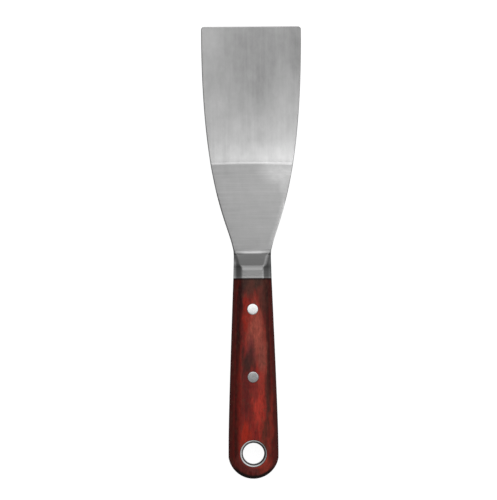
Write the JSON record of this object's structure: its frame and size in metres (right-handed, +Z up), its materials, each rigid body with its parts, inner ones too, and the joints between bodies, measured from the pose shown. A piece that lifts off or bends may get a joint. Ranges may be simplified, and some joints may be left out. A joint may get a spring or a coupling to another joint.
{
  "type": "palette knife",
  "caption": "Broad palette knife with a flexible square-ended steel blade, a forged bolster and a riveted wood handle with a steel-lined hanging hole.",
  "frame": {"origin": "under the middle of the knife's bounding box, on the surface that the knife lies on", "axes": "+Y along the knife towards the blade's working edge, X across it, +Z up through its thickness, the front of the knife being uppermost"},
  "size_m": [0.05, 0.226, 0.0145],
  "materials": {
    "blade_steel": "ground along the blade and lightly polished, with a brighter polished bolster",
    "scale_wood": "laminated, red-dyed and polished to a soft sheen",
    "rivet_steel": "ground flush and polished",
    "eyelet_steel": "bright nickel-plated"
  },
  "bodies": {
    "root": {"blade": "blade_steel", "front_scale": "scale_wood", "back_scale": "scale_wood", "bolster_end_rivet_barrel": "rivet_steel", "bolster_end_rivet_pin": "rivet_steel", "mid_handle_rivet_barrel": "rivet_steel", "mid_handle_rivet_pin": "rivet_steel", "hanging_eyelet": "eyelet_steel"}
  },
  "joints": []
}
